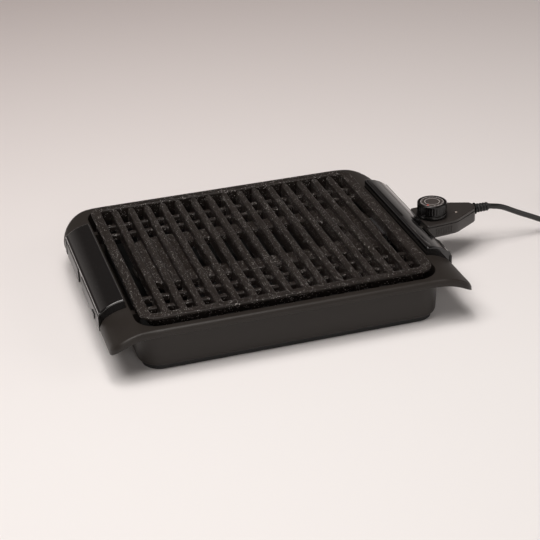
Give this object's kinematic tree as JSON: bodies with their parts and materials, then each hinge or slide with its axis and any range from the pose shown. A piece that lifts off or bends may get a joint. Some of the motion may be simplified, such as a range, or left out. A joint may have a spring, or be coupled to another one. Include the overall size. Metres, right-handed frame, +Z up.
{
  "type": "electric indoor grill",
  "caption": "Open electric tabletop grill: slotted non-stick plate in a tub base with glossy side handles, drip tray and plug-in heat controller with a turning knob and cord.",
  "frame": {"origin": "middle of the base footprint on the resting surface", "axes": "+Z up, front towards -Y, heat controller and cord on the +X side"},
  "size_m": [0.8607, 0.357, 0.0748],
  "materials": {
    "base_housing": "satin grain",
    "base_plinth": "matte",
    "plinth_screws": "zinc plated",
    "foot_pads": "matte",
    "left_handle_cover": "gloss",
    "right_handle_cover": "gloss",
    "left_handle_grip": "matte",
    "right_handle_grip": "matte",
    "handle_screws": "zinc plated",
    "drip_tray": "satin",
    "grill_plate": "speckled non-stick coating",
    "heating_element": "heat-tinted",
    "element_clips": "satin",
    "clip_screws": "zinc plated",
    "terminal_pins": "polished",
    "pin_insulators": "unglazed",
    "terminal_guard": "satin",
    "guard_screws": "zinc plated",
    "controller_lower_shell": "satin",
    "controller_upper_shell": "satin",
    "shell_screws": "zinc plated",
    "controller_nose": "matte",
    "contact_forks": "satin",
    "sensor_rod": "satin",
    "thermostat_block": "unglazed",
    "contact_leaves": "satin",
    "neon_lamp": "clear",
    "indicator_lens": "clear",
    "inner_wires": "woven sleeve",
    "temperature_knob": "satin",
    "knob_dial": "satin",
    "knob_spindle": "satin",
    "strain_relief": "matte",
    "power_cord": "satin",
    "cord_coil": "satin",
    "cord_tie": "matte",
    "plug_body": "satin",
    "plug_blades": "polished"
  },
  "bodies": {
    "base": {"base_housing": "base_housing", "base_plinth": "base_plinth", "plinth_screws": "plinth_screws", "foot_pads": "foot_pads", "left_handle_cover": "left_handle_cover", "right_handle_cover": "right_handle_cover", "left_handle_grip": "left_handle_grip", "right_handle_grip": "right_handle_grip", "handle_screws": "handle_screws"},
    "tray": {"drip_tray": "drip_tray"},
    "plate": {"grill_plate": "grill_plate", "heating_element": "heating_element", "element_clips": "element_clips", "clip_screws": "clip_screws", "terminal_pins": "terminal_pins", "pin_insulators": "pin_insulators", "terminal_guard": "terminal_guard", "guard_screws": "guard_screws"},
    "controller": {"controller_lower_shell": "controller_lower_shell", "controller_upper_shell": "controller_upper_shell", "shell_screws": "shell_screws", "controller_nose": "controller_nose", "contact_forks": "contact_forks", "sensor_rod": "sensor_rod", "thermostat_block": "thermostat_block", "contact_leaves": "contact_leaves", "neon_lamp": "neon_lamp", "indicator_lens": "indicator_lens", "inner_wires": "inner_wires", "strain_relief": "strain_relief", "power_cord": "power_cord", "cord_coil": "cord_coil", "cord_tie": "cord_tie", "plug_body": "plug_body", "plug_blades": "plug_blades"},
    "knob": {"temperature_knob": "temperature_knob", "knob_dial": "knob_dial", "knob_spindle": "knob_spindle"}
  },
  "joints": [
    {"name": "knob_turn", "type": "hinge", "parent": "controller", "child": "knob", "pos_m": [0.2384, 0, 0.0565], "axis": [0, 0, 1], "range_deg": [-270, 0]},
    {"name": "controller_pull", "type": "slide", "parent": "base", "child": "controller", "axis": [1, 0, 0], "range_m": [0, 0.12]},
    {"name": "plate_lift", "type": "slide", "parent": "base", "child": "plate", "axis": [0, 0, 1], "range_m": [0, 0.11]},
    {"name": "tray_lift", "type": "slide", "parent": "base", "child": "tray", "axis": [0, 0, 1], "range_m": [0, 0.055]}
  ],
  "couplings": [
    {"joint": "tray_lift", "follows": "plate_lift", "ratio": 0.5}
  ]
}
